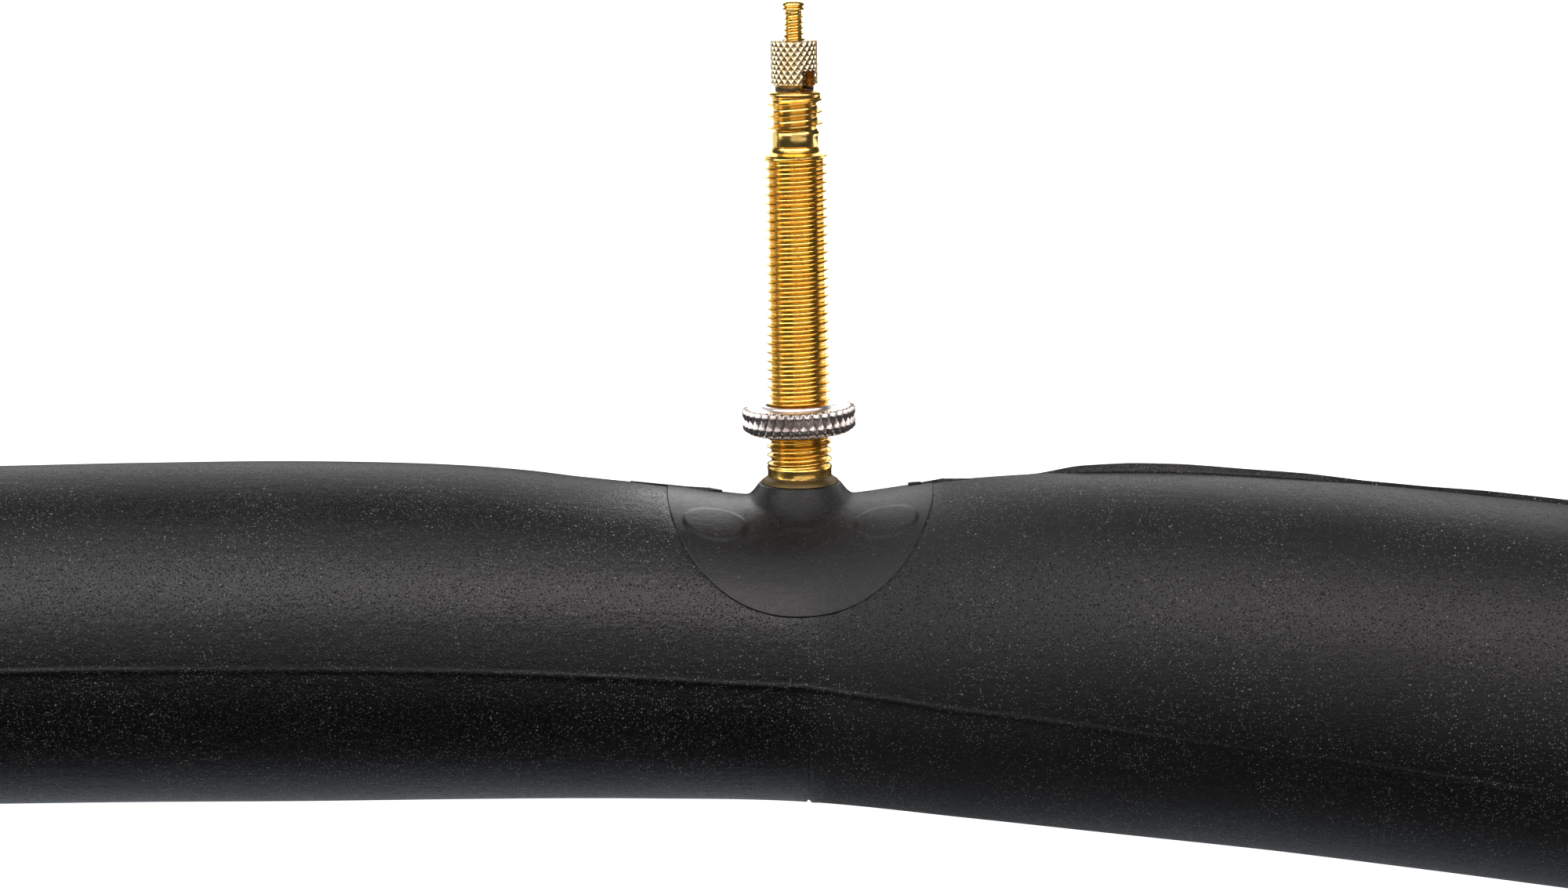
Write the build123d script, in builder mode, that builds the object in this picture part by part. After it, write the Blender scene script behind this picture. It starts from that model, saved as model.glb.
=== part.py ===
"""Bicycle inner tube with a long, narrow threaded valve that takes a removable core.

Frame: the origin is on the valve's axis where the stem leaves the rubber. +Y runs along the
valve towards its tip and so into the ring, +X runs along the tube past the valve, and +Z is up
from the surface that the ring lies flat on. All lengths are in millimetres.
"""
from build123d import *
from math import cos, radians, sin
import os

import numpy as np

# The ring: a 26 inch tube, lightly inflated
ring_length = 1737.0           # along the middle of the tube
ring_r = 17.4                  # outside radius of the section away from the valve
wall = 0.9                     # rubber thickness
blend_turn = 12.0              # degrees of bend over which the section grows to ring_r
blend_sections = 3
# Even sections beside the valve: the height of the middle along Y, and the outside radius
section_step = 15.0
first_section = -75.0
valve_sections = [
    (-11.9, 15.45),
    (-11.85, 15.5),
    (-12.0, 15.5),
    (-12.4, 15.2),
    (-13.3, 14.5),
    (-14.4, 13.95),
    (-14.5, 15.55),
    (-15.15, 16.75),
    (-16.5, 17.2),
    (-18.4, 17.4),
    (-20.5, 17.5),
]
right_heading = -8.0           # the tube's direction at the last of these sections

# The rubber patch that carries the valve
pad_r = 12.5
pad_thickness = 0.9
patch_lap = 1.0                # the wall under the pad is pushed in over this much more radius
root_top_r = 3.7               # the moulded rubber root round the foot of the stem
root_top = 1.2
root_waist = (4.75, -0.5)
root_base = (7.5, -2.6)
wall_hole_r = 2.6

# The stem
foot_r = 4.2
foot_bottom = -0.5
foot_top = 0.1
shank_r = 2.8                  # between the foot and the flange, inside the rubber
flange_r = 3.55
flange_top = 1.8
band_r = 2.9
thread_start = 2.6
thread_end = 30.9
stem_thread_r = 2.925          # 6 mm thread, 32 to the inch
stem_root_r = 2.475
stem_pitch = 0.794
stem_top = 31.9
neck_r = 2.15
socket_r = 1.8                 # bore for the core
socket_bottom = 21.0
air_bore_r = 1.45
crest_land = 0.06

# The removable core
core_fit = 0.04                # radial gap between the core's barrel and the stem's socket
core_shoulder = 31.95          # the core's neck sits on the stem here
cap_thread_start = 33.2
cap_thread_end = 37.0
cap_thread_r = 2.55            # 5.2 mm thread, 24 to the inch
cap_root_r = 2.05
cap_pitch = 1.058
gasket_top = 22.0
gasket_r = 1.75
barrel_r = 1.35                # below the gasket
barrel_bottom = 18.0
core_bore_r = 1.1

# The pin and its nut
pin_tip = 45.0
pin_thread_bottom = 34.0
pin_thread_r = 0.975
pin_root_r = 0.725
pin_pitch = 0.5
pin_rod_r = 0.6
pin_bottom = 15.6
seal_r = 1.25
seal_top = 17.95
cup_top = 16.6
cup_bottom = 16.0
cup_r = 1.1
peened_r = 1.0                 # the last turns, spread so that the nut can't come off
peened_length = 1.0
nut_bottom = 37.05
nut_top = 41.5
nut_r = 2.08
nut_neck_r = 1.75
nut_neck_top = 37.5
nut_bore_r = 1.035
nut_chamfer = 0.25
slot_width = 1.5
slot_height = 1.8
slot_turn = 42.0               # the slot's direction, in degrees from +Z towards +X

# The rim nut, part way down the stem
rim_nut_bottom = 5.9
rim_nut_top = 8.2
rim_nut_r = 5.15
rim_nut_collar_r = 3.45
rim_nut_collar_top = 8.5
rim_nut_bore_r = 2.975
rim_nut_chamfer = 0.35

# The ring is four bends, turning to 90, 180, 270 and 360 degrees; the first and last are alike
ring_headings = [right_heading, 90.0, 180.0, 270.0, 360.0]


middles = np.array([
    (first_section + place * section_step, height)
    for place, (height, radius) in enumerate(valve_sections)
])


def bend_radii():
    """The first, second and third bends' radii that close the ring at its stated length."""
    valve_length = np.linalg.norm(np.diff(middles, axis=0), axis=1).sum()
    turns = np.radians(ring_headings)
    effect = np.array([
        np.sin(turns[1:]) - np.sin(turns[:-1]),
        np.cos(turns[:-1]) - np.cos(turns[1:]),
        turns[1:] - turns[:-1],
    ])
    effect[:, 0] += effect[:, 3]
    needed = [*(middles[0] - middles[-1]), ring_length - valve_length]
    return [float(radius) for radius in np.linalg.solve(effect[:, :3], needed)]


def heading(degrees):
    """The level direction at this angle from +X."""
    return Vector(cos(radians(degrees)), sin(radians(degrees)), 0)


def across(middle, direction):
    """The plane across the tube at a point of its middle line."""
    return Plane(origin=middle, x_dir=(0, 0, 1), z_dir=direction)


first_r, second_r, third_r = bend_radii()
print(f"bends: {first_r:.1f}, {second_r:.1f}, {third_r:.1f} mm")

with BuildLine() as right_blend:
    JernArc(
        start=middles[-1],
        tangent=heading(right_heading),
        radius=first_r,
        arc_size=blend_turn,
    )
with BuildLine() as far_ring:
    bend_1 = JernArc(
        start=right_blend.line @ 1,
        tangent=right_blend.line % 1,
        radius=first_r,
        arc_size=90 - right_heading - blend_turn,
    )
    bend_2 = JernArc(start=bend_1 @ 1, tangent=bend_1 % 1, radius=second_r, arc_size=90)
    bend_3 = JernArc(start=bend_2 @ 1, tangent=bend_2 % 1, radius=third_r, arc_size=90)
    bend_4 = JernArc(
        start=bend_3 @ 1, tangent=bend_3 % 1, radius=first_r, arc_size=90 - blend_turn
    )
with BuildLine() as left_blend:
    JernArc(start=bend_4 @ 1, tangent=bend_4 % 1, radius=first_r, arc_size=blend_turn)


def valve_planes():
    """The planes and outside radii of the sections beside the valve, from left to right."""
    slopes = np.gradient(middles[:, 1], section_step)
    slopes[0] = 0.0
    slopes[-1] = np.tan(radians(right_heading))
    planes = []
    for turn in range(blend_sections):
        place = turn / blend_sections
        grown = 1 - place ** 2 * (3 - 2 * place)
        radius = valve_sections[0][1] + grown * (ring_r - valve_sections[0][1])
        planes.append((across(left_blend.line @ place, left_blend.line % place), radius))
    for (x, y), slope, (height, radius) in zip(middles, slopes, valve_sections):
        planes.append((across((x, y, 0), (1, slope, 0)), radius))
    for turn in range(blend_sections):
        place = (turn + 1) / blend_sections
        grown = place ** 2 * (3 - 2 * place)
        radius = valve_sections[-1][1] + grown * (ring_r - valve_sections[-1][1])
        planes.append((across(right_blend.line @ place, right_blend.line % place), radius))
    return planes


def valve_stretch(inset):
    """The stretch of tube beside the valve, as a solid inset below the outside surface."""
    with BuildPart() as stretch:
        for plane, radius in valve_planes():
            with BuildSketch(plane):
                Circle(radius - inset)
        loft()
    return stretch.part


def whole_ring(inset):
    """The whole ring as a solid, inset below the outside surface."""
    with BuildPart() as ring:
        with BuildSketch(across(far_ring.line @ 0, far_ring.line % 0)):
            Circle(ring_r - inset)
        sweep(path=far_ring.line)
        add(valve_stretch(inset))
    return ring.part


def upright_disc(radius, bottom, top):
    """A round block on the valve's axis between two heights."""
    with BuildPart() as block:
        with BuildSketch(Plane.XZ.offset(-top)):
            Circle(radius)
        extrude(amount=top - bottom)
    return block.part


def half_section(*points):
    """The filled outline of a turned piece, from its (radius, height) points."""
    with BuildSketch() as section:
        with BuildLine():
            Polyline(*points, close=True)
        make_face()
    return section.sketch


def grooves(crest_r, root_r, pitch, start, end):
    """The outline of a thread: sharp grooves between narrow crests, from start up to end."""
    count = round((end - start) / pitch)
    step = (end - start - crest_land) / count
    points = []
    for turn in range(count):
        crest = start + turn * step
        points.append((crest_r, crest))
        points.append((crest_r, crest + crest_land))
        points.append((root_r, crest + (step + crest_land) / 2))
    points.append((crest_r, end - crest_land))
    points.append((crest_r, end))
    return points


deep = -16.0                   # below the pad, inside the tube
clear = 5.0                    # above the pad, outside the tube

# The air inside the tube; under the pad the wall is pushed in
with BuildPart() as air_space:
    add(whole_ring(wall))
    add(upright_disc(pad_r + patch_lap, deep, clear), mode=Mode.SUBTRACT)
    add(valve_stretch(wall + pad_thickness))

# The recess that the pad sits in, down to the pushed-in wall
with BuildPart() as recess:
    add(upright_disc(pad_r, deep, clear))
    add(valve_stretch(pad_thickness), mode=Mode.SUBTRACT)

with BuildPart() as tube_body:
    add(whole_ring(0))
    add(air_space.part, mode=Mode.SUBTRACT)
    add(recess.part, mode=Mode.SUBTRACT)
    add(upright_disc(wall_hole_r, deep, clear), mode=Mode.SUBTRACT)

with BuildPart() as valve_stem:
    outline = [
        (0, foot_bottom),
        (foot_r, foot_bottom),
        (foot_r, foot_top),
        (shank_r, foot_top),
        (shank_r, root_top),
        (flange_r, root_top),
        (band_r, flange_top),
        (band_r, thread_start - stem_pitch / 2),
        (stem_root_r, thread_start - stem_pitch / 4),
        *grooves(stem_thread_r, stem_root_r, stem_pitch, thread_start, thread_end),
        (neck_r, stem_top),
        (0, stem_top),
    ]
    revolve(half_section(*outline), axis=Axis.Y)
    add(upright_disc(socket_r, socket_bottom, clear + stem_top), mode=Mode.SUBTRACT)
    add(upright_disc(air_bore_r, deep, clear + stem_top), mode=Mode.SUBTRACT)

# The patch and the moulded root are one piece of rubber, with the foot of the stem inside it
with BuildPart() as valve_pad:
    add(upright_disc(pad_r, deep, clear))
    add(valve_stretch(0), mode=Mode.INTERSECT)
    with BuildSketch() as root_section:
        with BuildLine():
            flare = Spline((root_top_r, root_top), root_waist, root_base)
            Polyline(flare @ 1, (0, root_base[1]), (0, root_top), flare @ 0)
        make_face()
    revolve(axis=Axis.Y)
    add(valve_stretch(pad_thickness), mode=Mode.SUBTRACT)
    add(valve_stem.part, mode=Mode.SUBTRACT)
    add(upright_disc(air_bore_r, deep, clear), mode=Mode.SUBTRACT)

with BuildPart() as core_body:
    outline = [
        (core_bore_r, barrel_bottom),
        (barrel_r, barrel_bottom),
        (barrel_r, gasket_top),
        (socket_r - core_fit, gasket_top),
        (socket_r - core_fit, core_shoulder),
        (neck_r, core_shoulder),
        (neck_r, cap_thread_start - cap_pitch / 2),
        *grooves(cap_thread_r, cap_root_r, cap_pitch, cap_thread_start, cap_thread_end),
        (core_bore_r, cap_thread_end),
    ]
    revolve(half_section(*outline), axis=Axis.Y)

# The seal between the core's barrel and the step at the bottom of the socket
with BuildPart() as core_gasket:
    outline = [
        (barrel_r, socket_bottom),
        (gasket_r, socket_bottom),
        (gasket_r, gasket_top),
        (barrel_r, gasket_top),
    ]
    revolve(half_section(*outline), axis=Axis.Y)

with BuildPart() as core_pin:
    outline = [
        (0, pin_bottom),
        (pin_rod_r, pin_bottom),
        (pin_rod_r, pin_thread_bottom),
        *grooves(
            pin_thread_r, pin_root_r, pin_pitch, pin_thread_bottom, pin_tip - peened_length
        ),
        (peened_r, pin_tip - 0.8 * peened_length),
        (peened_r, pin_tip - 0.1 * peened_length),
        (pin_root_r, pin_tip),
        (0, pin_tip),
    ]
    revolve(half_section(*outline), axis=Axis.Y)

# The rubber seal that the pin pulls up against the bottom of the barrel
with BuildPart() as pin_seal:
    add(upright_disc(seal_r, cup_top, seal_top))
    add(upright_disc(pin_rod_r, cup_top, seal_top), mode=Mode.SUBTRACT)

# The metal cup that holds the seal on the pin
with BuildPart() as pin_cup:
    add(upright_disc(cup_r, cup_bottom, cup_top))
    add(upright_disc(pin_rod_r, cup_bottom, cup_top), mode=Mode.SUBTRACT)

with BuildPart() as core_nut:
    outline = [
        (nut_bore_r, nut_bottom),
        (nut_neck_r, nut_bottom),
        (nut_neck_r, nut_neck_top),
        (nut_r, nut_neck_top + nut_r - nut_neck_r),
        (nut_r, nut_top - nut_chamfer),
        (nut_r - nut_chamfer, nut_top),
        (nut_bore_r, nut_top),
    ]
    revolve(half_section(*outline), axis=Axis.Y)
    slot_plane = Plane(
        origin=(0, nut_bottom, 0),
        x_dir=(sin(radians(slot_turn)), 0, cos(radians(slot_turn))),
        z_dir=(0, 1, 0),
    )
    with BuildSketch(slot_plane):
        Rectangle(3 * nut_r, slot_width)
    extrude(amount=slot_height, mode=Mode.SUBTRACT)

with BuildPart() as rim_nut:
    outline = [
        (rim_nut_bore_r, rim_nut_bottom),
        (rim_nut_r - rim_nut_chamfer, rim_nut_bottom),
        (rim_nut_r, rim_nut_bottom + rim_nut_chamfer),
        (rim_nut_r, rim_nut_top - rim_nut_chamfer),
        (rim_nut_r - rim_nut_chamfer, rim_nut_top),
        (rim_nut_collar_r, rim_nut_top),
        (rim_nut_collar_r, rim_nut_collar_top),
        (rim_nut_bore_r, rim_nut_collar_top),
    ]
    revolve(half_section(*outline), axis=Axis.Y)

# Each piece is its own file
pieces = {
    "tube_body": tube_body,
    "valve_pad": valve_pad,
    "valve_stem": valve_stem,
    "core_body": core_body,
    "core_gasket": core_gasket,
    "core_pin": core_pin,
    "pin_seal": pin_seal,
    "pin_cup": pin_cup,
    "core_nut": core_nut,
    "rim_nut": rim_nut,
}
os.makedirs("parts", exist_ok=True)
for name, piece in pieces.items():
    piece.part.label = name
    export_step(piece.part, f"parts/{name}.step")
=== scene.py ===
"""Looks for the bicycle inner tube: rubber skin, helical threads, knurled nuts, light and camera.

Lengths are in millimetres, and every mesh, light and camera place is turned into metres as it
is made. The frame is the CAD model's: the valve's axis is +Y, the tube runs along X past it,
and +Z is up.
"""
from math import cos, pi, radians, sin

import bpy
import numpy as np
from mathutils import Matrix, Vector

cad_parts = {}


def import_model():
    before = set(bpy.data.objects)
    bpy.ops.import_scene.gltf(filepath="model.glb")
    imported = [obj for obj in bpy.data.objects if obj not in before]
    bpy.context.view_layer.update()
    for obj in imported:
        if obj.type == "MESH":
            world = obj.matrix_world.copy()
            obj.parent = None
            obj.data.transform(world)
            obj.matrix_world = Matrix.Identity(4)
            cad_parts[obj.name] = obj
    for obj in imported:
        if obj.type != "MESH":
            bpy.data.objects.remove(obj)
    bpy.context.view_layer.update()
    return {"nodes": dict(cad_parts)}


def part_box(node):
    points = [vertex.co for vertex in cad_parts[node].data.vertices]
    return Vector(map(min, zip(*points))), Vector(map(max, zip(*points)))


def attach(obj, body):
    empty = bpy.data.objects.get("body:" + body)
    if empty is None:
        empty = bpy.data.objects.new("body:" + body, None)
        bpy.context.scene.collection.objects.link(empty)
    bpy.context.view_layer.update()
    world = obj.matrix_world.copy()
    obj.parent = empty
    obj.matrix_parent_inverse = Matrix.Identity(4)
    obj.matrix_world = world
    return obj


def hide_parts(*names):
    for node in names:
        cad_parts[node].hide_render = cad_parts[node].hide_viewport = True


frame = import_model()

MM = 0.001
TURN = 2 * pi

# ---------------------------------------------------------------- the ring's driving sizes
RING_LENGTH = 1737.0
RING_R = 17.4
BLEND_TURN = 12.0              # degrees of bend over which the section grows to RING_R
SECTION_STEP = 15.0
FIRST_SECTION = -75.0
# The height of the middle along Y and the outside radius, at even places beside the valve
VALVE_SECTIONS = [
    (-11.9, 15.45),
    (-11.85, 15.5),
    (-12.0, 15.5),
    (-12.4, 15.2),
    (-13.3, 14.5),
    (-14.4, 13.95),
    (-14.5, 15.55),
    (-15.15, 16.75),
    (-16.5, 17.2),
    (-18.4, 17.4),
    (-20.5, 17.5),
]
RIGHT_HEADING = -8.0
RING_HEADINGS = [RIGHT_HEADING, 90.0, 180.0, 270.0, 360.0]
PLAIN_ROWS = 25.0              # sections this near the valve stay square to X, under the pad
SQUARE_ROWS = 60.0             # and from here on they are square to the tube

# Mould lines of the tube
FIN_HEIGHT = 0.6
FIN_LEFT_SHARE = 0.2           # of that height, on the left of the valve
# The ragged fin on the right of the valve: places along X, and shares of that height there
FIN_PLACES = [24, 30, 35, 40, 45, 50, 55, 60, 75]
FIN_SHARES = [1.0, 1.4, 1.35, 1.05, 0.95, 0.5, 0.5, 0.75, 0.7]
CREASE_HEIGHT = 0.11
CREASE_DIP = 0.07              # the hollow beside each crease
CREASE_DIP_AWAY = 1.1
# Mesh columns, in degrees: at the fin, the upper crease, the lower crease, and the fin again
MARKS = [0.0, 95.0, 265.0, 360.0]
COLUMN_STEP = 3.0
FAR_ROW_GAP = 5.0
SPLICE_X = 0.4
WAVE_LENGTH = 23.0

# The valve patch: a rounded outline along the tube and round its section
PAD_ALONG = 12.3
PAD_ROUND = 16.4
PAD_POWER = 2.5
PAD_PROUD = 0.09               # how far the pad stands out of the tube
PAD_RECESS = 0.6               # how far the tube's skin drops below it
PAD_TUCK = 0.34                # how far its rim turns down into the tube
PLAQUE_X = 7.7
PLAQUE_ROUND = 6.7
PLAQUE_HALF_X = 3.0
PLAQUE_HALF_ROUND = 2.35
PLAQUE_HEIGHT = 0.12
ROOT_TOP = 1.2
ROOT_TOP_R = 3.72
ROOT_BLEND = 0.32              # softness of the corner between the root and the patch

# The stem, core and nuts: as in the CAD model
STEM_THREAD = dict(start=2.6, end=31.2, crest=2.95, root=2.53, pitch=0.794)
CAP_THREAD = dict(start=32.9, end=36.7, crest=2.56, root=2.06, pitch=1.058, levels=(0.18, 0.7))
PIN_THREAD = dict(start=34.0, end=44.1, crest=0.975, root=0.735, pitch=0.5, levels=(1, 0))
THREAD_RUN_OUT = 0.7           # turns over which a thread fades out at its ends
THREAD_CREST = 0.12            # the crest's flat, as a share of the pitch
SLOT_TURN = 42.0
SLOT_WIDTH = 1.5
SLOT_HEIGHT = 1.8
CORE_NUT_KNURLS = 22
CORE_NUT_SLOPE = 1.22          # turns of the knurl's pattern for each millimetre of height
RIM_NUT_KNURLS = 36
RIM_NUT_SLOPE = 0.45
RIM_NUT_CUT = 0.42             # depth of its knurl
RIM_NUT_TILT = 1.3

# Colours
BUTYL_BLACK = (0.0030, 0.0027, 0.0029, 1)
BUTYL_BLOOM = (0.0090, 0.0082, 0.0085, 1)
TALC_WHITE = (0.33, 0.32, 0.31, 1)
METAL_DIRT = (0.05, 0.03, 0.015, 1)
# Painted shade in the knurls' hollows
GROOVE_SHADE_BROWN = (0.12, 0.075, 0.045, 1)
# Dark of a rubber layer on the stem's flange, and painted shadow on the core nut's neck
FILM_AND_SHADE_DARK = (0.045, 0.036, 0.022, 1)


def ease(t):
    """0 below t = 0, 1 above t = 1, and a smooth step between."""
    t = np.clip(t, 0.0, 1.0)
    return t * t * (3 - 2 * t)


# ---------------------------------------------------------------- meshes
def make_piece(name, verts, faces, material, body, replaces=(), sharp_angle=None):
    """A mesh piece from points in millimetres, riding a body and finished in a slot."""
    mesh = bpy.data.meshes.new(name)
    mesh.from_pydata((np.asarray(verts) * MM).tolist(), [], [list(face) for face in faces])
    mesh.validate()
    mesh.materials.append(material)
    mesh.shade_smooth()
    if sharp_angle:
        mesh.set_sharp_from_angle(angle=radians(sharp_angle))
    piece = bpy.data.objects.new(name, mesh)
    bpy.context.scene.collection.objects.link(piece)
    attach(piece, body)
    if replaces:
        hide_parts(*replaces)
    return piece


def grid_faces(rows, columns, close_rows=False, close_columns=True):
    """Quads over a grid of points numbered row by row."""
    row = np.arange(rows if close_rows else rows - 1)[:, None]
    column = np.arange(columns if close_columns else columns - 1)[None, :]
    next_row = (row + 1) % rows
    next_column = (column + 1) % columns
    corners = [row * columns + column, row * columns + next_column,
               next_row * columns + next_column, next_row * columns + column]
    return np.stack([corner + 0 * corners[2] for corner in corners], axis=-1).reshape(-1, 4)


# ---------------------------------------------------------------- the ring's middle line
def section_curve(places, values, first_slope, last_slope):
    """A smooth curve through values at the even valve sections, read at the given places."""
    knots = FIRST_SECTION + SECTION_STEP * np.arange(len(values))
    slopes = np.gradient(values, SECTION_STEP)
    slopes[0] = first_slope
    slopes[-1] = last_slope
    index = np.clip(((places - FIRST_SECTION) / SECTION_STEP).astype(int), 0, len(values) - 2)
    t = (places - knots[index]) / SECTION_STEP
    low = values[index]
    high = values[index + 1]
    leave = slopes[index] * SECTION_STEP
    arrive = slopes[index + 1] * SECTION_STEP
    return (low * (2 * t**3 - 3 * t**2 + 1) + high * (3 * t**2 - 2 * t**3)
            + leave * (t**3 - 2 * t**2 + t) + arrive * (t**3 - t**2))


HEIGHTS = np.array([height for height, radius in VALVE_SECTIONS])
RADII = np.array([radius for height, radius in VALVE_SECTIONS])
LAST_SECTION = FIRST_SECTION + SECTION_STEP * (len(VALVE_SECTIONS) - 1)


def middle_y(x):
    return section_curve(x, HEIGHTS, 0.0, np.tan(radians(RIGHT_HEADING)))


def outer_r(x):
    return section_curve(x, RADII, 0.0, 0.0)


def top_of_tube(x, z):
    """The height along Y of the tube's outside above a point near the valve."""
    return middle_y(x) + np.sqrt(np.maximum(outer_r(x) ** 2 - z ** 2, 0.01))


def bend_radii():
    """The first, second and third bends' radii that close the ring at its real length."""
    rise = np.diff(HEIGHTS)
    valve_length = np.hypot(rise, SECTION_STEP).sum()
    turns = np.radians(RING_HEADINGS)
    effect = np.array([
        np.sin(turns[1:]) - np.sin(turns[:-1]),
        np.cos(turns[:-1]) - np.cos(turns[1:]),
        turns[1:] - turns[:-1],
    ])
    effect[:, 0] += effect[:, 3]
    needed = [FIRST_SECTION - LAST_SECTION, HEIGHTS[0] - HEIGHTS[-1], RING_LENGTH - valve_length]
    return np.linalg.solve(effect[:, :3], needed)


def valve_rows():
    """Places along X of the mesh rows beside the valve, close together at the splice."""
    fine = np.arange(-2.0, 2.01, 0.14) + SPLICE_X
    coarse = np.arange(FIRST_SECTION, LAST_SECTION, 0.8)
    coarse = coarse[np.abs(coarse - SPLICE_X) > 2.3]
    return np.sort(np.concatenate([coarse, fine]))


def ring_rows():
    """The ring's mesh rows: middle points, headings, radii, the valve rows' count, and distances.

    The rows beside the valve come first, and the far ring's rows follow from right to left.
    """
    x = valve_rows()
    y = middle_y(x)
    true_heading = np.arctan(np.gradient(y, x))
    heading = true_heading * ease((np.abs(x) - PLAIN_ROWS) / (SQUARE_ROWS - PLAIN_ROWS))
    middles = [np.stack([x, y], axis=1)]
    headings = [heading]
    radii = [outer_r(x)]
    first, second, third = bend_radii()
    point = np.array([LAST_SECTION, HEIGHTS[-1]])
    for number, bend_r in enumerate((first, second, third, first)):
        start = radians(RING_HEADINGS[number])
        end = radians(RING_HEADINGS[number + 1])
        count = int(round(bend_r * (end - start) / FAR_ROW_GAP))
        turn = np.linspace(start, end, count, endpoint=False)
        path = point + bend_r * np.stack(
            [np.sin(turn) - sin(start), cos(start) - np.cos(turn)], axis=1)
        from_start = ease((np.degrees(turn) - RIGHT_HEADING) / BLEND_TURN)
        to_end = ease((360 - np.degrees(turn)) / BLEND_TURN)
        radius = (RING_R + (RADII[-1] - RING_R) * (1 - from_start)
                  + (RADII[0] - RING_R) * (1 - to_end))
        middles.append(path)
        headings.append(turn)
        radii.append(radius)
        point = point + bend_r * np.array([sin(end) - sin(start), cos(start) - cos(end)])
    middles = np.concatenate(middles)
    steps = np.linalg.norm(np.diff(middles, axis=0), axis=1)
    distance = np.append(0, np.cumsum(steps))
    return middles, np.concatenate(headings), np.concatenate(radii), len(x), distance


# ---------------------------------------------------------------- the tube's skin
def fin_height(x):
    """The mould fin on the inside of the ring: trimmed at the valve, and low on its left."""
    right = ease((x - 21) / 5) * np.interp(x, FIN_PLACES, FIN_SHARES)
    return FIN_HEIGHT * np.where(x > 0, right, FIN_LEFT_SHARE * ease((-19 - x) / 6))


def fin_angle(x):
    """Degrees that the fin leans off the side facing the ring's middle: the tube is twisted."""
    return np.interp(x, [-60, -25, 15, 21, 26, 45, 75], [-17, -15, -9, -10, -4.5, -3.5, -6])


def crease_angle(x):
    """Degrees round the section, from the side facing the ring's middle, of the upper crease."""
    return np.interp(x, [-75, 0, 5, 13, 34, 75], [91, 92, 94.5, 99, 105, 110])


def column_angles():
    """Section angles of the mesh columns, close together at the fin and the two creases."""
    near = np.array([-2.6, -1.7, -1.15, -0.75, -0.4, 0, 0.4, 0.75, 1.15, 1.7, 2.6])
    angles = [(mark + near) % 360 for mark in MARKS[:3]]
    for start, end in zip(MARKS[:-1], MARKS[1:]):
        count = int(round((end - start) / COLUMN_STEP))
        angles.append(np.linspace(start + 4.0, end - 4.0, count - 2))
    return np.sort(np.concatenate(angles))


def bump(offset, flat, slope):
    """1 within flat of a line, easing to 0 over slope more."""
    return 1 - ease((np.abs(offset) - flat) / slope)


def round_the_ring(value, x, share):
    """A value that follows X beside the valve, then eases over the far ring to the left end's."""
    right = value(np.array([LAST_SECTION]))
    left = value(np.array([FIRST_SECTION]))
    return np.append(value(x), right * (1 - share) + left * share)


def mould_lines(arc, fin_up, distance):
    """The fin and the two creases standing out of the skin; arc is the distance from each mark."""
    out = fin_up * (bump(arc[0], 0.08, 0.2) + bump(arc[3], 0.08, 0.2))
    strength = 0.75 + 0.25 * sin(distance / 9.0 + 2 * sin(distance / WAVE_LENGTH))
    for side, dip_side in ((1, 1), (2, -1)):
        crease = bump(arc[side], 0.05, 0.34)
        dip = bump(arc[side] - dip_side * CREASE_DIP_AWAY, 0.3, 1.4)
        out = out + (CREASE_HEIGHT * crease - CREASE_DIP * dip) * strength
    return out


def slight_waves(phi, distance, phases):
    """The rubber's slight waviness, round the section and along the ring."""
    slow = distance / WAVE_LENGTH
    return (0.05 * np.sin(slow + phases[0] + 2 * phi)
            + 0.04 * np.sin(1.7 * slow + phases[1] - 3 * phi))


def splice_relief(x, angle):
    """The splice: a fine groove from the upper side down, deeper lower down, with a swelling."""
    seam = ease((angle - 62) / 14)
    groove = bump(x - SPLICE_X, 0.05, 0.16)
    swelling = bump(x - SPLICE_X - 0.5, 0.1, 0.4)
    return (0.03 * swelling - 0.05 * groove) * seam - 0.16 * groove * ease((angle - 112) / 14)


def patch_recess(x, phi, radius):
    """How far the skin drops where the patch covers it."""
    turned = (phi + pi) % TURN - pi
    inside = (0.975 - pad_share(x, radius * turned)) / 0.09
    return PAD_RECESS * ease(inside) * (np.abs(turned) < radians(100))


def tube_skin(material):
    middles, headings, radii, valve_count, distance = ring_rows()
    base = column_angles()
    share = ease(np.arange(len(middles) - valve_count) / (len(middles) - valve_count))
    x = middles[:valve_count, 0]
    fins = round_the_ring(fin_angle, x, share)
    creases = round_the_ring(crease_angle, x, share)
    fin_up = round_the_ring(fin_height, x, share)
    phases = np.random.default_rng(11).uniform(0, TURN, 2)
    verts = []
    for row, (middle, heading, radius) in enumerate(zip(middles, headings, radii)):
        marks = [fins[row], creases[row], 360 - creases[row], 360 + fins[row]]
        angle = np.interp(base, MARKS, marks)
        phi = np.radians(angle)
        arc = radius * np.radians(base - np.array(MARKS)[:, None])
        out = mould_lines(arc, fin_up[row], distance[row])
        waves = slight_waves(phi, distance[row], phases)
        if row < valve_count:
            waves = waves * ease((abs(middle[0]) - 16) / 14)
            out = out + splice_relief(middle[0], angle) - patch_recess(middle[0], phi, radius)
        reach = radius + out + waves
        across = reach * np.cos(phi)
        verts.append(np.stack([
            middle[0] - np.sin(heading) * across,
            middle[1] + np.cos(heading) * across,
            reach * np.sin(phi),
        ], axis=1))
    faces = grid_faces(len(verts), len(base), close_rows=True)
    return make_piece(
        "tube_skin", np.concatenate(verts), faces, material, "tube", ["tube_body"])


# ---------------------------------------------------------------- the valve patch
def pad_share(x, around):
    """1 on the patch's outline and less inside it; around is the distance round the section."""
    along = np.abs(x / PAD_ALONG) ** PAD_POWER
    return (along + np.abs(around / PAD_ROUND) ** PAD_POWER) ** (1 / PAD_POWER)


def root_height(r):
    """The outside of the moulded root round the stem's foot, falling away from the valve."""
    drop = r - ROOT_TOP_R
    return ROOT_TOP - 1.45 * drop + 0.11 * np.minimum(drop, 3.0) ** 2


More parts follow.
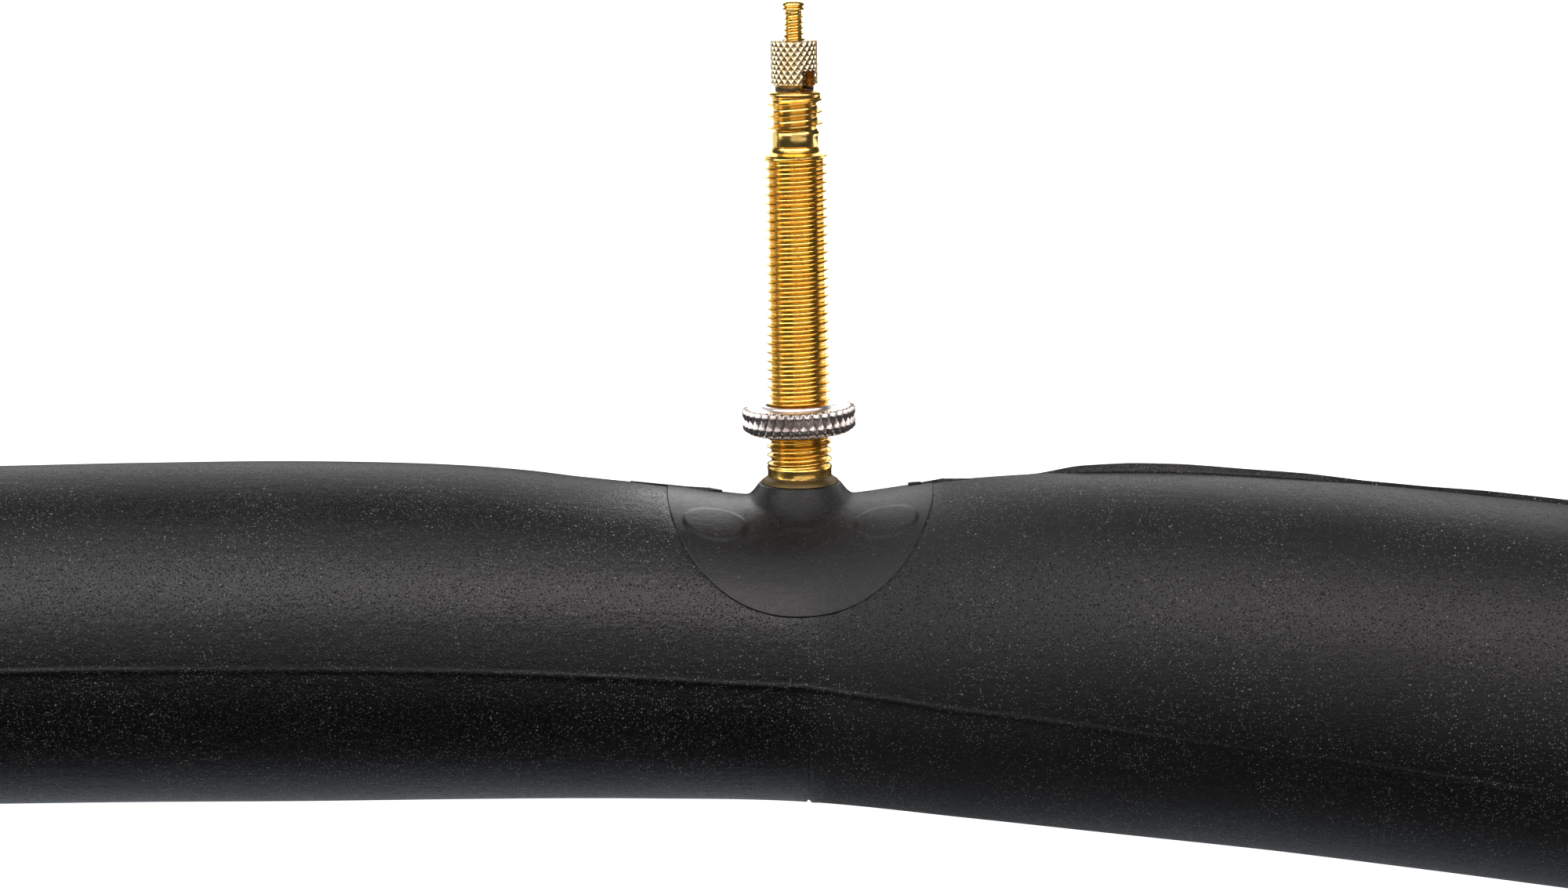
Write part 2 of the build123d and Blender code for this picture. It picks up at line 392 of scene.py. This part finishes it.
def plaque(x, around, side):
    """A low raised oval beside the root, 0 outside it and 1 on its flat top."""
    along = (x - side * PLAQUE_X) / PLAQUE_HALF_X
    across = (np.abs(around) - PLAQUE_ROUND) / PLAQUE_HALF_ROUND
    return ease((1 - np.hypot(along, across)) / 0.12)


def pad_surface(x, around):
    """Points of the patch's outside, from places along the tube and round its section."""
    share = pad_share(x, around)
    # The outline shows less low down on the right
    sunk = ease((x - 2) / 4) * ease((np.abs(around) - 6) / 4)
    plaques = plaque(x, around, -1) + plaque(x, around, 1)
    out = PAD_PROUD - 0.07 * sunk + PLAQUE_HEIGHT * plaques
    out = out - PAD_TUCK * ease((share - 0.978) / 0.022)
    reach = outer_r(x) + out
    turned = around / outer_r(x)
    y = middle_y(x) + reach * np.cos(turned)
    z = reach * np.sin(turned)
    r = np.hypot(x, z)
    joined = ROOT_BLEND * np.logaddexp(y / ROOT_BLEND, root_height(r) / ROOT_BLEND)
    joined = np.where(share < 0.75, joined, y + (joined - y) * ease((0.9 - share) / 0.15))
    # The root's top edge is rounded over, and its top lies level under the stem's flange
    lip = ROOT_TOP - 1.6 * np.maximum(0, r - ROOT_TOP_R + 0.12) ** 2
    height = np.where(r < ROOT_TOP_R, np.minimum(lip, joined), joined)
    return np.stack([x, height, z], axis=-1)


def pad_skin(material):
    columns = 288
    angle = TURN * np.arange(columns) / columns
    outline = (np.abs(np.sin(angle) / PAD_ALONG) ** PAD_POWER
               + np.abs(np.cos(angle) / PAD_ROUND) ** PAD_POWER) ** (-1 / PAD_POWER)
    root = np.concatenate([np.linspace(2.0, 3.3, 4), np.linspace(3.4, 6.5, 40)])
    spread = np.concatenate([np.linspace(0, 0.95, 56)[1:], np.linspace(0.955, 1.0, 14)])
    reach = np.concatenate([
        np.repeat(root[:, None], columns, axis=1),
        root[-1] + spread[:, None] * (outline - root[-1]),
    ])
    points = pad_surface(reach * np.sin(angle), reach * np.cos(angle))
    faces = grid_faces(len(reach), columns)[:, ::-1]
    return make_piece(
        "pad_skin", points.reshape(-1, 3), faces, material, "tube", ["valve_pad"])


def flash_strip(name, outline, material):
    """A left-over of the mould fin: a thin strip of rubber lying along the top of the tube.

    The outline gives, along X, the strip's half thickness and how high it stands.
    """
    verts = []
    for x, half, high in outline:
        z = -1.2 + 0.25 * sin(1.3 * x)
        y = float(top_of_tube(np.array(x), np.array(z)))
        ragged = 0.05 * sin(7.3 * x) + 0.04 * sin(17 * x)
        for dz, dy in ((half, -0.3), (half * 0.9, high * 0.8), (half * 0.3, high + ragged),
                       (-half * 0.5, high + ragged), (-half, high * 0.7), (-half, -0.3)):
            verts.append((x, y + dy, z + dz))
    loops = len(outline)
    faces = grid_faces(loops, 6).tolist()
    faces.append([5, 4, 3, 2, 1, 0])
    faces.append([6 * (loops - 1) + corner for corner in range(6)])
    return make_piece(name, verts, faces, material, "tube", sharp_angle=50)


# ---------------------------------------------------------------- turned and threaded metal
def helix_rows(start, end, pitch, samples, angle):
    """Heights down one column of a threaded stretch: its ends, and places that follow the helix."""
    lead = pitch * angle / TURN
    first = int(np.ceil((start - lead) / pitch * samples + 0.15))
    last = int(np.floor((end - lead) / pitch * samples - 0.15))
    return np.concatenate([[start], lead + np.arange(first, last + 1) * pitch / samples, [end]])


def thread_radius(y, angle, start, end, crest, root, pitch, levels=(1, 1)):
    """Rolled thread: a narrow crest and a wide hollow trough, run out at each end.

    levels say where between root (0) and crest (1) the plain surface at each end lies.
    """
    phase = (y / pitch - angle / TURN + 0.5) % 1.0 - 0.5
    away = np.clip((np.abs(phase) - THREAD_CREST / 2) / (0.5 - THREAD_CREST / 2), 0, 1)
    standing = (1 - away) ** 2
    low_end = 1 - ease((y - start) / (THREAD_RUN_OUT * pitch))
    high_end = 1 - ease((end - y) / (THREAD_RUN_OUT * pitch))
    full = 1 - np.maximum(low_end, high_end)
    plain = np.where(low_end > high_end, levels[0], levels[1])
    return root + (crest - root) * (standing * full + plain * (1 - full))


def turned_mesh(below, thread, above, columns, samples):
    """Points and faces of a closed turned piece: profile points, a helical stretch, more points.

    Profile points are (radius, height), up the outside from the bore's foot and down the bore
    to its foot again. samples is the number of mesh rows in each turn of the thread.
    """
    angles = TURN * np.arange(columns) / columns
    verts = []
    faces = []
    loops = []

    def add_ring(radius, height):
        start = len(verts)
        verts.extend((radius * sin(angle), height, radius * cos(angle)) for angle in angles)
        loops.append([list(range(start, start + columns))] * 2)

    for radius, height in below:
        add_ring(radius, height)
    stretch = []
    for angle in angles:
        heights = helix_rows(thread["start"], thread["end"], thread["pitch"], samples, angle)
        radii = thread_radius(heights, angle, **thread)
        points = list(range(len(verts), len(verts) + len(heights)))
        verts.extend(zip(radii * sin(angle), heights, radii * cos(angle)))
        stretch.append((points, heights))
    for k in range(columns):
        zip_columns(stretch[k], stretch[(k + 1) % columns], thread["pitch"] / columns, faces)
    loops.append([[points[0] for points, _ in stretch], [points[-1] for points, _ in stretch]])
    for radius, height in above:
        add_ring(radius, height)
    for number, (_, low) in enumerate(loops):
        high = loops[(number + 1) % len(loops)][0]
        for k in range(columns):
            following = (k + 1) % columns
            faces.append((low[k], low[following], high[following], high[k]))
    return verts, faces


def zip_columns(left, right, rise, faces):
    """Joins two neighbouring columns of a thread, keeping to the helix between them."""
    left_points, left_heights = left
    right_points, right_heights = right
    a = 0
    b = 0
    while a < len(left_points) - 1 or b < len(right_points) - 1:
        next_a = left_heights[a + 1] if a < len(left_points) - 1 else np.inf
        next_b = right_heights[b + 1] - rise if b < len(right_points) - 1 else np.inf
        if abs(next_a - next_b) < 1e-6:
            faces.append((left_points[a], right_points[b], right_points[b + 1], left_points[a + 1]))
            a += 1
            b += 1
        elif next_a < next_b:
            faces.append((left_points[a], right_points[b], left_points[a + 1]))
            a += 1
        else:
            faces.append((left_points[a], right_points[b], right_points[b + 1]))
            b += 1


def knurled_ring(profile, band, radius_at, columns):
    """Points and faces of a closed turned ring whose outside band is cut by a knurl.

    profile is the rest of the ring's outline from the band's top, over the bore, to its bottom;
    band is the heights of the band's rows from bottom to top.
    """
    angles = TURN * np.arange(columns) / columns
    rows = [np.stack([radius_at(angles, y) * np.sin(angles), np.full(columns, y),
                      radius_at(angles, y) * np.cos(angles)], axis=1) for y in band]
    for radius, height in profile:
        rows.append(np.stack([radius * np.sin(angles), np.full(columns, height),
                              radius * np.cos(angles)], axis=1))
    return np.concatenate(rows), grid_faces(len(rows), columns, close_rows=True)


def knurl(angle, y, count, slope):
    """One hand of a knurl: 0 in the middle of a groove and 1 on a ridge."""
    phase = (count * angle / TURN + slope * y) % 1.0
    return 1 - np.abs(2 * phase - 1)


# ---------------------------------------------------------------- the valve's metal pieces
def stem_piece(material):
    below = [(1.45, -0.5), (4.2, -0.5), (4.2, 0.1), (2.8, 0.1), (2.8, 1.1), (3.42, 1.16),
             (3.56, 1.24), (3.5, 1.4), (3.05, 1.72), (2.94, 1.8), (2.9, 1.92), (2.9, 2.45)]
    above = [(2.84, 31.28), (2.62, 31.37), (2.43, 31.49), (2.29, 31.63), (2.2, 31.78),
             (2.16, 31.88), (2.1, 31.9), (1.8, 31.9), (1.8, 21.0), (1.45, 21.0)]
    verts, faces = turned_mesh(below, STEM_THREAD, above, columns=112, samples=13)
    return make_piece(
        "stem_helix", verts, faces, material, "tube", ["valve_stem"], 48)


def core_piece(material):
    below = [(1.1, 18.0), (1.35, 18.0), (1.35, 22.0), (1.76, 22.0), (1.76, 31.95), (2.1, 31.95),
             (2.15, 32.02), (2.15, 32.8)]
    above = [(2.33, 36.82), (2.05, 36.98), (1.98, 37.0), (1.1, 37.0)]
    verts, faces = turned_mesh(below, CAP_THREAD, above, columns=112, samples=18)
    return make_piece("core_helix", verts, faces, material, "tube", ["core_body"], 48)


def pin_piece(material):
    below = [(0.01, 15.6), (0.6, 15.6), (0.6, 33.9)]
    above = [(0.76, 44.15), (0.98, 44.22), (1.0, 44.3), (0.96, 44.4), (0.84, 44.46),
             (0.86, 44.52), (0.99, 44.6), (1.0, 44.72), (0.93, 44.84), (0.8, 44.93),
             (0.6, 44.98), (0.3, 45.0), (0.01, 45.0)]
    verts, faces = turned_mesh(below, PIN_THREAD, above, columns=56, samples=12)
    return make_piece("pin_helix", verts, faces, material, "pin", ["core_pin"], 48)


def core_nut_piece(material):
    bottom = 37.05
    knurl_from = 37.5
    top = 41.5

    def radius_at(angle, y):
        cross = np.maximum(knurl(angle, y, CORE_NUT_KNURLS, CORE_NUT_SLOPE),
                           knurl(angle, y, CORE_NUT_KNURLS, -CORE_NUT_SLOPE))
        cut = ease((y - knurl_from) / 0.1) * ease((top - y) / 0.12)
        neck = 1.75 + 0.22 * ease((y - 37.36) / 0.16)
        return neck + 0.13 * ease(cross * 1.7 - 0.7) * cut - 0.10 * ease((y - top + 0.1) / 0.1)

    band = np.concatenate([[bottom, 37.2, 37.34], np.arange(37.38, top, 0.055), [top]])
    profile = [(1.7, top + 0.01), (1.035, top), (1.035, bottom), (1.6, bottom)]
    verts, faces = knurled_ring(profile, band, radius_at, columns=312)
    piece = make_piece(
        "core_nut_knurl", verts, faces, material, "core_nut", ["core_nut"], 50)
    cut_slot(piece, bottom)
    return piece


def cut_slot(piece, bottom):
    """Cuts the through slot for a tool across the bottom of the core nut."""
    past_the_nut = 4.0
    half = np.array([SLOT_WIDTH / 2, SLOT_HEIGHT, past_the_nut])
    corners = np.array([(x, y, z) for x in (-1, 1) for y in (-1, 1) for z in (-1, 1)]) * half
    turn = Matrix.Rotation(radians(SLOT_TURN), 3, "Y")
    placed = [(turn @ Vector(corner) + Vector((0, bottom, 0))) * MM for corner in corners]
    faces = [(0, 1, 3, 2), (4, 6, 7, 5), (0, 4, 5, 1), (2, 3, 7, 6), (0, 2, 6, 4), (1, 5, 7, 3)]
    mesh = bpy.data.meshes.new("slot_tool")
    mesh.from_pydata(placed, [], faces)
    tool = bpy.data.objects.new("slot_tool", mesh)
    bpy.context.scene.collection.objects.link(tool)
    cut = piece.modifiers.new("slot", "BOOLEAN")
    cut.object = tool
    cut.solver = "EXACT"
    bpy.context.view_layer.update()
    graph = bpy.context.evaluated_depsgraph_get()
    result = bpy.data.meshes.new_from_object(piece.evaluated_get(graph))
    piece.modifiers.clear()
    piece.data = result
    bpy.data.objects.remove(tool)
    bpy.data.meshes.remove(mesh)


def rim_nut_piece(material):
    bottom = 5.9
    top = 8.2
    outside = 5.15

    def radius_at(angle, y):
        cross = np.minimum(knurl(angle, y, RIM_NUT_KNURLS, RIM_NUT_SLOPE),
                           knurl(angle, y, RIM_NUT_KNURLS, -RIM_NUT_SLOPE))
        cut = RIM_NUT_CUT * (1 - ease(cross * 1.2)) * ease((y - bottom) / 0.2 + 0.35)
        lower_edge = 0.5 * (1 - ease((y - bottom) / 0.5)) ** 2
        upper_edge = 0.16 * (1 - ease((top - y) / 0.2)) ** 2
        return outside - cut - lower_edge - upper_edge

    band = np.linspace(bottom, top, 34)
    profile = [(4.4, top + 0.02), (3.62, top + 0.02), (3.47, top + 0.06), (3.43, 8.42), (3.34, 8.5),
               (3.06, 8.5), (2.975, 8.42), (2.975, 6.1), (3.2, bottom), (4.3, bottom)]
    verts, faces = knurled_ring(profile, band, radius_at, columns=432)
    middle = Vector((0, (bottom + top) / 2, 0))
    tilt = Matrix.Rotation(radians(RIM_NUT_TILT), 3, "Z")
    verts = [tuple(tilt @ (Vector(point) - middle) + middle) for point in verts]
    return make_piece(
        "rim_nut_knurl", verts, faces, material, "rim_nut", ["rim_nut"], 50)


# ---------------------------------------------------------------- materials
def node(tree, kind, inputs=(), **settings):
    """Adds a shader node; inputs are (name or number, value or output socket) pairs."""
    made = tree.nodes.new(kind)
    for name, value in settings.items():
        setattr(made, name, value)
    for key, value in inputs:
        if isinstance(value, bpy.types.NodeSocket):
            tree.links.new(value, made.inputs[key])
        else:
            made.inputs[key].default_value = value
    return made


def new_material(name):
    material = bpy.data.materials.new(name)
    material.use_nodes = True
    tree = material.node_tree
    shader = tree.nodes["Principled BSDF"]
    place = node(tree, "ShaderNodeTexCoord").outputs["Object"]
    return material, tree, shader, place


def noise(tree, place, size_mm, detail=3.0, roughness=0.5, stretch=(1, 1, 1)):
    """Cloudy noise with features of about this size, drawn out along an axis by stretch."""
    shrink = [1 / share for share in stretch]
    scaled = node(tree, "ShaderNodeMapping", [("Vector", place), ("Scale", shrink)])
    made = node(tree, "ShaderNodeTexNoise", [
        ("Vector", scaled.outputs["Vector"]), ("Scale", 1 / (size_mm * MM)),
        ("Detail", detail), ("Roughness", roughness)])
    return made.outputs["Fac"]


def remap(tree, value, low, high, new_low=0.0, new_high=1.0):
    """Turns low to high into new_low to new_high, and holds beyond them."""
    made = node(tree, "ShaderNodeMapRange", [
        ("Value", value), ("From Min", low), ("From Max", high),
        ("To Min", new_low), ("To Max", new_high)])
    return made.outputs["Result"]


def maths(tree, operation, first, second):
    return node(tree, "ShaderNodeMath", [(0, first), (1, second)], operation=operation).outputs[0]


def plus(tree, first, second):
    return maths(tree, "ADD", first, second)


def times(tree, first, second):
    return maths(tree, "MULTIPLY", first, second)


def blend_colour(tree, share, first, second):
    mix = node(tree, "ShaderNodeMix", [(0, share), (6, first), (7, second)], data_type="RGBA")
    return mix.outputs[2]


def specks(tree, place, cell_mm, radius, share):
    """Scattered round specks: 1 on a speck, 0 off it. radius is a fraction of the cell."""
    cells = node(tree, "ShaderNodeTexVoronoi", [
        ("Vector", place), ("Scale", 1 / (cell_mm * MM)), ("Randomness", 1.0)])
    near = remap(tree, cells.outputs["Distance"], radius, radius * 0.75)
    lot = node(tree, "ShaderNodeSeparateColor", [("Color", cells.outputs["Color"])]).outputs[0]
    return times(tree, near, remap(tree, lot, share, share - 0.02))


def relief(tree, shader, height, strength, depth_mm):
    """Bumps the shader's surface by a height."""
    bump_node = node(tree, "ShaderNodeBump", [
        ("Height", height), ("Strength", strength), ("Distance", depth_mm * MM)])
    tree.links.new(bump_node.outputs["Normal"], shader.inputs["Normal"])


def talc_specks(tree, place, height):
    """White specks: fine and coarse talc, thicker on the tube's outer side, and a little lint."""
    outer_side = remap(tree, height, -8 * MM, -22 * MM, 0.5, 1.0)
    patches = remap(tree, noise(tree, place, 9, 3, 0.6), 0.33, 0.62)
    density = times(tree, patches, outer_side)
    small = specks(tree, place, 0.24, 0.30, 0.55)
    small = times(tree, small, remap(tree, density, 0.1, 0.8, 0.14, 0.62))
    large = specks(tree, place, 0.7, 0.13, 0.5)
    large = times(tree, large, remap(tree, density, 0.0, 0.6, 0.3, 0.9))
    slanted = node(tree, "ShaderNodeMapping", [
        ("Vector", place), ("Rotation", (0, 0, 0.9)), ("Scale", (0.4, 1, 1))]).outputs["Vector"]
    lint = specks(tree, slanted, 7.0, 0.028, 0.35)
    return maths(tree, "MAXIMUM", maths(tree, "MAXIMUM", small, large), lint)


def rubber(name, dust, smooth_rough, matt_rough):
    """Black butyl with a fine sandy skin, grey bloom, grit and white specks of talc.

    The roughness goes from smooth_rough on the left of the valve to matt_rough on its right,
    where it is rougher still close by. dust is the share of talc and grit.
    """
    material, tree, shader, place = new_material(name)
    spot = node(tree, "ShaderNodeSeparateXYZ", [("Vector", place)])
    cloud = noise(tree, place, 24, 4, 0.6)
    fine = noise(tree, place, 0.22, 2, 0.6)
    grain = noise(tree, place, 0.75, 3, 0.55)
    along = noise(tree, place, 0.5, 2, 0.5, stretch=(14, 1, 1))
    grit = remap(tree, noise(tree, place, 0.17, 1, 0.5), 0.60, 0.74)
    talc = times(tree, talc_specks(tree, place, spot.outputs["Y"]), dust)

    bloom = times(tree, remap(tree, cloud, 0.35, 0.7), remap(tree, grain, 0.3, 0.75))
    colour = blend_colour(tree, bloom, BUTYL_BLACK, BUTYL_BLOOM)
    colour = blend_colour(tree, talc, colour, TALC_WHITE)
    tree.links.new(colour, shader.inputs["Base Color"])

    side = remap(tree, spot.outputs["X"], -1 * MM, 2 * MM, smooth_rough, matt_rough)
    right_of_valve = remap(tree, spot.outputs["X"], 0, 3 * MM)
    worn = times(tree, right_of_valve, remap(tree, spot.outputs["X"], 14 * MM, 34 * MM, 0.12, 0))
    uneven = remap(tree, plus(tree, cloud, grain), 0.7, 1.3, -0.03, 0.07)
    rough = plus(tree, plus(tree, side, worn), uneven)
    rough = plus(tree, rough, times(tree, plus(tree, talc, grit), 0.35 * dust))
    tree.links.new(rough, shader.inputs["Roughness"])
    shader.inputs["Specular IOR Level"].default_value = 0.36
    shader.inputs["IOR"].default_value = 1.5

    bumps = plus(tree, times(tree, fine, 0.5), times(tree, grain, 0.7))
    bumps = plus(tree, bumps, times(tree, along, 0.3))
    bumps = plus(tree, bumps, times(tree, grit, 0.7 * dust))
    relief(tree, shader, bumps, 0.25 + 0.6 * dust, 0.09)
    return material


def paint_groove_shade(tree, place, colour, inner, deepest, open_r, darkness):
    """Painted shade in a knurl: full from inner to deepest from the valve's axis, none at open_r."""
    flat = node(tree, "ShaderNodeVectorMath", [(0, place), (1, (1, 0, 1))], operation="MULTIPLY")
    length = node(tree, "ShaderNodeVectorMath", [(0, flat.outputs[0])], operation="LENGTH")
    from_axis = length.outputs["Value"]
    starts = remap(tree, from_axis, (inner - 0.05) * MM, inner * MM)
    stops = remap(tree, from_axis, deepest * MM, open_r * MM, darkness, 0)
    return blend_colour(tree, times(tree, starts, stops), colour, GROOVE_SHADE_BROWN)


def film_and_shade_band(tree, place, top):
    """1 below a ragged line at this height and 0 above it."""
    height = node(tree, "ShaderNodeSeparateXYZ", [("Vector", place)]).outputs["Y"]
    ragged = remap(tree, noise(tree, place, 1.1, 3, 0.6), 0.3, 0.7, -0.12 * MM, 0.12 * MM)
    return remap(tree, plus(tree, height, ragged), top * MM, (top - 0.12) * MM, 0, 0.93)


def metal(name, bright, dull, roughness, dirt_share=0.0, film_and_shade_below=None, groove_shade=None):
    """Turned metal with faint tarnish, fine tool marks round the axis and pits of grime.

    Below the height film_and_shade_below it is darkened: a thin dull layer of the moulded rubber
    on the stem, and painted shadow on the core nut's neck. groove_shade is the distances and the
    darkness that paint_groove_shade takes, for painted shade in a knurl.
    """
    material, tree, shader, place = new_material(name)
    tarnish = remap(tree, noise(tree, place, 2.2, 4, 0.65), 0.38, 0.68)
    colour = blend_colour(tree, tarnish, bright, dull)
    marks = noise(tree, place, 0.12, 2, 0.5, stretch=(9, 1, 9))
    rough = remap(tree, plus(tree, marks, tarnish), 0.4, 1.6, roughness, roughness + 0.14)
    if dirt_share:
        pits = remap(tree, noise(tree, place, 0.35, 3, 0.6), 0.58, 0.70, 0, dirt_share)
        colour = blend_colour(tree, pits, colour, METAL_DIRT)
    # Painted shade in a knurl's hollows, darker towards their floor
    if groove_shade:
        colour = paint_groove_shade(tree, place, colour, *groove_shade)
    # A dark band below a height: a rubber layer on the stem, painted shadow on the core nut's neck
    if film_and_shade_below is not None:
        film_and_shade = film_and_shade_band(tree, place, film_and_shade_below)
        colour = blend_colour(tree, film_and_shade, colour, FILM_AND_SHADE_DARK)
        rough = plus(tree, rough, times(tree, film_and_shade, 0.3))
    tree.links.new(colour, shader.inputs["Base Color"])
    shader.inputs["Metallic"].default_value = 1.0
    tree.links.new(rough, shader.inputs["Roughness"])
    relief(tree, shader, marks, 0.25, 0.006)
    return material


# ---------------------------------------------------------------- light, floor and camera
def floor(level):
    material, _, shader, _ = new_material("floor_white")
    shader.inputs["Base Color"].default_value = (0.9, 0.9, 0.9, 1)
    shader.inputs["Roughness"].default_value = 0.9
    shader.inputs["Specular IOR Level"].default_value = 0.0
    shader.inputs["Emission Color"].default_value = (1, 1, 1, 1)
    shader.inputs["Emission Strength"].default_value = 1.1
    half = 1500 * MM
    corners = [(-half, -half, level), (half, -half, level), (half, half, level), (-half, half, level)]
    mesh = bpy.data.meshes.new("floor")
    mesh.from_pydata(corners, [], [(0, 1, 2, 3)])
    mesh.materials.append(material)
    plane = bpy.data.objects.new("floor", mesh)
    # The softboxes alone make the highlights, so the floor's glow stays out of the reflections
    plane.visible_glossy = False
    bpy.context.scene.collection.objects.link(plane)


def softbox(name, place, aim, size, glow, colour, reflection_only=True):
    """A rectangular area light facing a point; sizes in millimetres, glow is its radiance."""
    light = bpy.data.lights.new(name, "AREA")
    light.shape = "RECTANGLE"
    light.size = size[0] * MM
    light.size_y = size[1] * MM
    light.energy = glow * pi * light.size * light.size_y
    light.color = colour
    lamp = bpy.data.objects.new(name, light)
    back = (Vector(place) - Vector(aim)).normalized()
    across = Vector((0, 1, 0)).cross(back).normalized()
    turn = Matrix((across, back.cross(across), back)).transposed().to_4x4()
    lamp.matrix_world = Matrix.Translation(Vector(place) * MM) @ turn
    lamp.visible_camera = False
    lamp.visible_diffuse = not reflection_only
    bpy.context.scene.collection.objects.link(lamp)


def world(colour, strength):
    made = bpy.data.worlds.new("studio")
    made.use_nodes = True
    background = made.node_tree.nodes["Background"]
    background.inputs["Color"].default_value = colour
    background.inputs["Strength"].default_value = strength
    bpy.context.scene.world = made


CAMERA_AWAY = 420.0
CAMERA_TILT = 9.5              # degrees from straight down, leaning towards the valve's tip
CAMERA_ROLL = -0.83
CAMERA_AIM = (-1.4, 4.6, 0.0)
CAMERA_LENS = 105.8            # on a sensor 36 mm wide


def camera():
    tilt = radians(CAMERA_TILT)
    roll = radians(CAMERA_ROLL)
    back = Vector((0, sin(tilt), cos(tilt)))
    up = Vector((0, cos(tilt), -sin(tilt)))
    right = Vector((1, 0, 0))
    rolled_right = right * cos(roll) + up * sin(roll)
    rolled_up = up * cos(roll) - right * sin(roll)
    data = bpy.data.cameras.new("camera")
    data.lens = CAMERA_LENS
    data.sensor_width = 36.0
    data.clip_start = 10 * MM
    made = bpy.data.objects.new("camera", data)
    made.matrix_world = Matrix.Translation((Vector(CAMERA_AIM) + back * CAMERA_AWAY) * MM) @ Matrix(
        (rolled_right, rolled_up, back)).transposed().to_4x4()
    bpy.context.scene.collection.objects.link(made)
    bpy.context.scene.camera = made


WHITE = (1, 1, 1)
WARM = (1, 0.97, 0.95)
ROSE = (1, 0.93, 0.94)
PALE_ROSE = (1, 0.94, 0.95)
COOL = (0.85, 0.92, 1)
# Cards that face straight up, as the lit table does: name, place, size, glow and colour
TABLE_GLOWS = [
    ("table_glow", (-164, 24, -17.6), (352, 36), 0.9, WHITE),
    ("pad_glow", (-1, 34, -17.5), (26, 52), 2.2, WHITE),
    ("right_glow", (68, 16, -17.6), (104, 20), 1.9, WHITE),
    ("front_glow", (0, -150, -17.6), (900, 240), 0.44, COOL),
]

camera()
floor(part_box("tube_body")[0][2] - 0.3 * MM)
world((0.86, 0.92, 1.0, 1), 0.05)
softbox("top_softbox", (380, 660, 640), (0, 0, 0), (1240, 430), 4.6, ROSE, reflection_only=False)
softbox("overhead_card", (250, 0, 800), (0, 0, 0), (1300, 420), 0.78, PALE_ROSE)
softbox("back_card", (-75, 900, 300), (0, 0, 0), (1050, 580), 1.25, WARM)
softbox("left_card", (-420, 400, 430), (0, 20, 0), (700, 560), 3.2, WHITE)
softbox("left_low_card", (-700, 250, 110), (0, 20, 0), (330, 620), 2.0, WARM)
for name, place, size, glow, colour in TABLE_GLOWS:
    softbox(name, place, (place[0], place[1], 100), size, glow, colour)
bpy.context.scene.view_settings.view_transform = "Standard"

tube_rubber = rubber("tube_rubber", 1.0, 0.34, 0.46)
pad_rubber = rubber("pad_rubber", 0.3, 0.36, 0.38)
seal_rubber = rubber("seal_rubber", 0.0, 0.5, 0.5)
stem_brass = metal("stem_brass", (0.98, 0.66, 0.17, 1), (0.90, 0.50, 0.10, 1), 0.17,
                   dirt_share=0.5, film_and_shade_below=2.0)
core_brass = metal("core_brass", (0.98, 0.68, 0.22, 1), (0.90, 0.52, 0.12, 1), 0.17)
# The core nut: painted shadow as a dark band on its neck under the knurl, and painted shade in the
# knurl's hollows that also darkens its faces nearer the axis
nut_brass = metal("nut_brass", (0.95, 0.78, 0.50, 1), (0.78, 0.58, 0.31, 1), 0.28,
                  film_and_shade_below=37.42, groove_shade=(0.5, 1.93, 2.04, 0.6))
# The rim nut: painted shade in its knurl's hollows
nickel = metal("nickel", (0.80, 0.75, 0.72, 1), (0.52, 0.45, 0.42, 1), 0.24,
               dirt_share=0.6, groove_shade=(4.68, 4.73, 4.90, 0.5))

tube_skin(tube_rubber)
pad_skin(pad_rubber)
stem_piece(stem_brass)
core_piece(core_brass)
pin_piece(core_brass)
core_nut_piece(nut_brass)
rim_nut_piece(nickel)
flash_strip("flash_left", [
    (-15.5, 0.08, 0.1), (-13, 0.1, 0.22), (-10.5, 0.1, 0.25),
    (-8.4, 0.12, 0.28), (-8.3, 0.2, 0.36), (-7.1, 0.22, 0.36)], tube_rubber)
flash_strip("flash_right", [
    (9.9, 0.24, 0.42), (11.0, 0.22, 0.4), (11.1, 0.12, 0.25),
    (13, 0.1, 0.22), (15.5, 0.08, 0.1)], tube_rubber)
for name, material in (
        ("core_gasket", seal_rubber), ("pin_seal", seal_rubber), ("pin_cup", core_brass)):
    frame["nodes"][name].data.materials.clear()
    frame["nodes"][name].data.materials.append(material)
